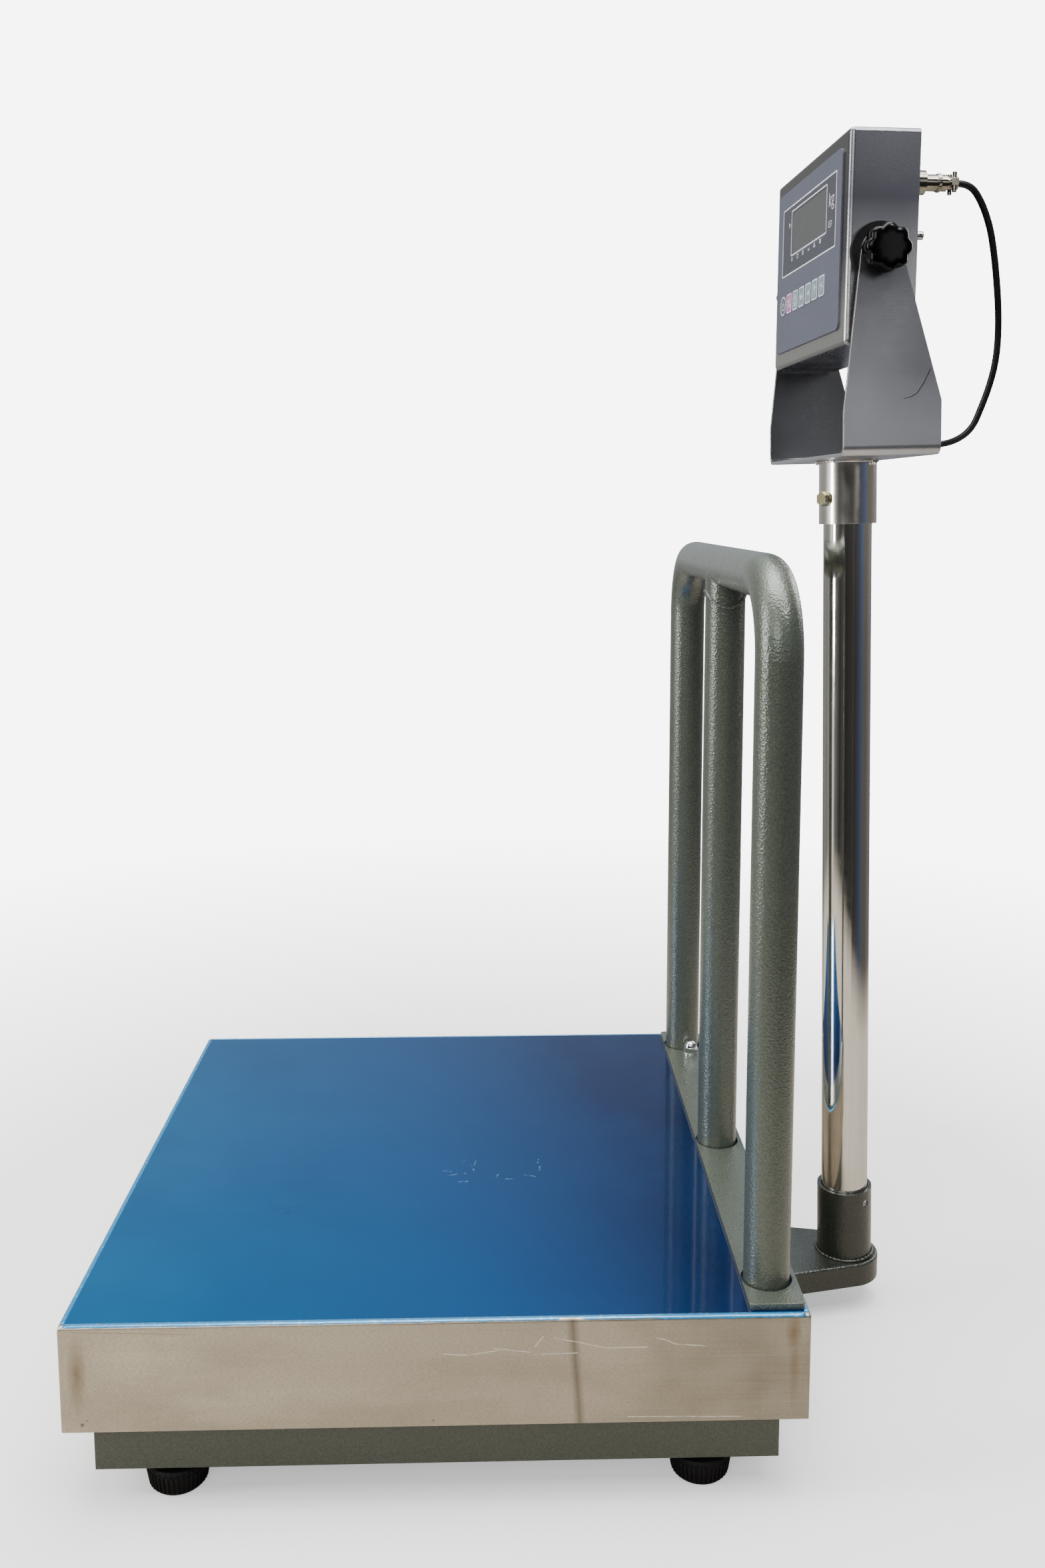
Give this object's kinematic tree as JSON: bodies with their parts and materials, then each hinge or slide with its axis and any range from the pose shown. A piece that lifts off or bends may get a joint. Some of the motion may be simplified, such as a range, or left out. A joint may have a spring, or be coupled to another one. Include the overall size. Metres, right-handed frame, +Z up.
{
  "type": "platform shipping scale",
  "caption": "Bench platform scale with a blue-filmed stainless pan, parcel guard rail, levelling feet and a tilting indicator on a column at one side.",
  "frame": {"origin": "on the floor, at the middle of the footprint of everything but the free cable", "axes": "+X to the right, +Y to the back where the guard rail and the column stand, +Z up; the display faces -Y"},
  "size_m": [0.5, 0.6714, 0.9361],
  "materials": {
    "pan_steel": "brushed stainless, warm grey, with heat tint at the corners",
    "film": "deep blue protective film",
    "paint": "grey-green hammertone, glossy",
    "column_steel": "polished stainless",
    "head_steel": "fine brushed stainless",
    "zinc": "bright zinc",
    "chrome_nut": "bright chrome",
    "nickel": "nickel plate",
    "brass": "yellow-passivated",
    "rubber": "matt black",
    "knob_plastic": "satin black",
    "panel_print": "dark blue-grey printed film",
    "window": "smoked window",
    "key_blue": "pale blue printed film",
    "key_pink": "pink printed film",
    "key_dark": "dark printed film with a pale ring",
    "circuit": "green solder mask",
    "battery_case": "black moulded case",
    "cell_metal": "machined"
  },
  "bodies": {
    "base": {"base_rails": "paint", "base_centre_beam": "paint", "column_arm": "paint", "column_socket": "paint", "socket_grub_screw": "zinc", "column_tube": "column_steel", "foot_lock_nuts": "zinc", "load_cell": "cell_metal", "load_cell_lower_spacer": "paint", "load_cell_lower_bolts": "zinc", "overload_stops": "zinc", "column_cable": "rubber"},
    "platform": {"load_cell_upper_spacer": "paint", "load_cell_upper_bolts": "zinc", "upper_rails": "paint", "upper_centre_plate": "paint", "pan_pads": "rubber", "pan": "pan_steel", "pan_film": "film", "guard_strip": "paint", "guard_hoop": "paint", "guard_middle_post": "paint", "guard_dome_nuts": "chrome_nut", "guard_bolts": "zinc"},
    "foot_front_left": {"foot_pad_front_left": "rubber", "foot_stud_front_left": "zinc"},
    "foot_front_right": {"foot_pad_front_right": "rubber", "foot_stud_front_right": "zinc"},
    "foot_back_left": {"foot_pad_back_left": "rubber", "foot_stud_back_left": "zinc"},
    "foot_back_right": {"foot_pad_back_right": "rubber", "foot_stud_back_right": "zinc"},
    "head": {"head_sleeve": "column_steel", "bracket": "head_steel", "head_clamp_screw": "brass", "cable_grommet": "rubber"},
    "indicator": {"indicator_case": "head_steel", "rear_cover": "head_steel", "rear_cover_screws": "zinc", "membrane_panel": "panel_print", "display_window": "window", "display_board": "circuit", "main_board": "circuit", "battery": "battery_case", "connector_socket": "nickel", "seal_screw": "zinc", "pivot_inserts": "zinc", "rubber_washers": "rubber", "plug_body": "nickel", "plug_clamp": "nickel", "signal_cable": "rubber"},
    "knob_left": {"knob_left": "knob_plastic"},
    "knob_right": {"knob_right": "knob_plastic"},
    "key_power": {"key_power": "key_dark"},
    "key_1": {"key_1": "key_pink"},
    "key_2": {"key_2": "key_blue"},
    "key_3": {"key_3": "key_blue"},
    "key_4": {"key_4": "key_blue"},
    "key_5": {"key_5": "key_blue"},
    "key_6": {"key_6": "key_blue"}
  },
  "joints": [
    {"name": "platform_load", "type": "slide", "parent": "base", "child": "platform", "axis": [0, 0, -1], "range_m": [0, 0.0006], "stiffness_N_per_m": 1000000, "springref_m": -0.00014, "deforming": ["load_cell"]},
    {"name": "foot_front_left_level", "type": "slide", "parent": "base", "child": "foot_front_left", "axis": [0, 0, -1], "range_m": [0, 0.012]},
    {"name": "foot_front_right_level", "type": "slide", "parent": "base", "child": "foot_front_right", "axis": [0, 0, -1], "range_m": [0, 0.012]},
    {"name": "foot_back_left_level", "type": "slide", "parent": "base", "child": "foot_back_left", "axis": [0, 0, -1], "range_m": [0, 0.012]},
    {"name": "foot_back_right_level", "type": "slide", "parent": "base", "child": "foot_back_right", "axis": [0, 0, -1], "range_m": [0, 0.012]},
    {"name": "head_swivel", "type": "hinge", "parent": "base", "child": "head", "pos_m": [0, 0.28, 0.041], "axis": [0, -0.0227, 0.9997], "range_deg": [-160, 160]},
    {"name": "indicator_tilt", "type": "hinge", "parent": "head", "child": "indicator", "pos_m": [0.00052, 0.25236, 0.84958], "axis": [0.9984, 0.0558, 0.0013], "range_deg": [-45, 25], "deforming": ["signal_cable"]},
    {"name": "knob_left_turn", "type": "hinge", "parent": "indicator", "child": "knob_left", "pos_m": [0.00052, 0.25236, 0.84958], "axis": [-0.9984, -0.0558, -0.0013], "range_deg": [0, 360]},
    {"name": "knob_right_turn", "type": "hinge", "parent": "indicator", "child": "knob_right", "pos_m": [0.00052, 0.25236, 0.84958], "axis": [0.9984, 0.0558, 0.0013], "range_deg": [0, 360]},
    {"name": "key_power_press", "type": "slide", "parent": "indicator", "child": "key_power", "axis": [-0.0558, 0.9984, -0.0053], "range_m": [0, 0.00035], "stiffness_N_per_m": 1500, "springref_m": -0.0002},
    {"name": "key_1_press", "type": "slide", "parent": "indicator", "child": "key_1", "axis": [-0.0558, 0.9984, -0.0053], "range_m": [0, 0.00035], "stiffness_N_per_m": 1500, "springref_m": -0.0002},
    {"name": "key_2_press", "type": "slide", "parent": "indicator", "child": "key_2", "axis": [-0.0558, 0.9984, -0.0053], "range_m": [0, 0.00035], "stiffness_N_per_m": 1500, "springref_m": -0.0002},
    {"name": "key_3_press", "type": "slide", "parent": "indicator", "child": "key_3", "axis": [-0.0558, 0.9984, -0.0053], "range_m": [0, 0.00035], "stiffness_N_per_m": 1500, "springref_m": -0.0002},
    {"name": "key_4_press", "type": "slide", "parent": "indicator", "child": "key_4", "axis": [-0.0558, 0.9984, -0.0053], "range_m": [0, 0.00035], "stiffness_N_per_m": 1500, "springref_m": -0.0002},
    {"name": "key_5_press", "type": "slide", "parent": "indicator", "child": "key_5", "axis": [-0.0558, 0.9984, -0.0053], "range_m": [0, 0.00035], "stiffness_N_per_m": 1500, "springref_m": -0.0002},
    {"name": "key_6_press", "type": "slide", "parent": "indicator", "child": "key_6", "axis": [-0.0558, 0.9984, -0.0053], "range_m": [0, 0.00035], "stiffness_N_per_m": 1500, "springref_m": -0.0002}
  ]
}
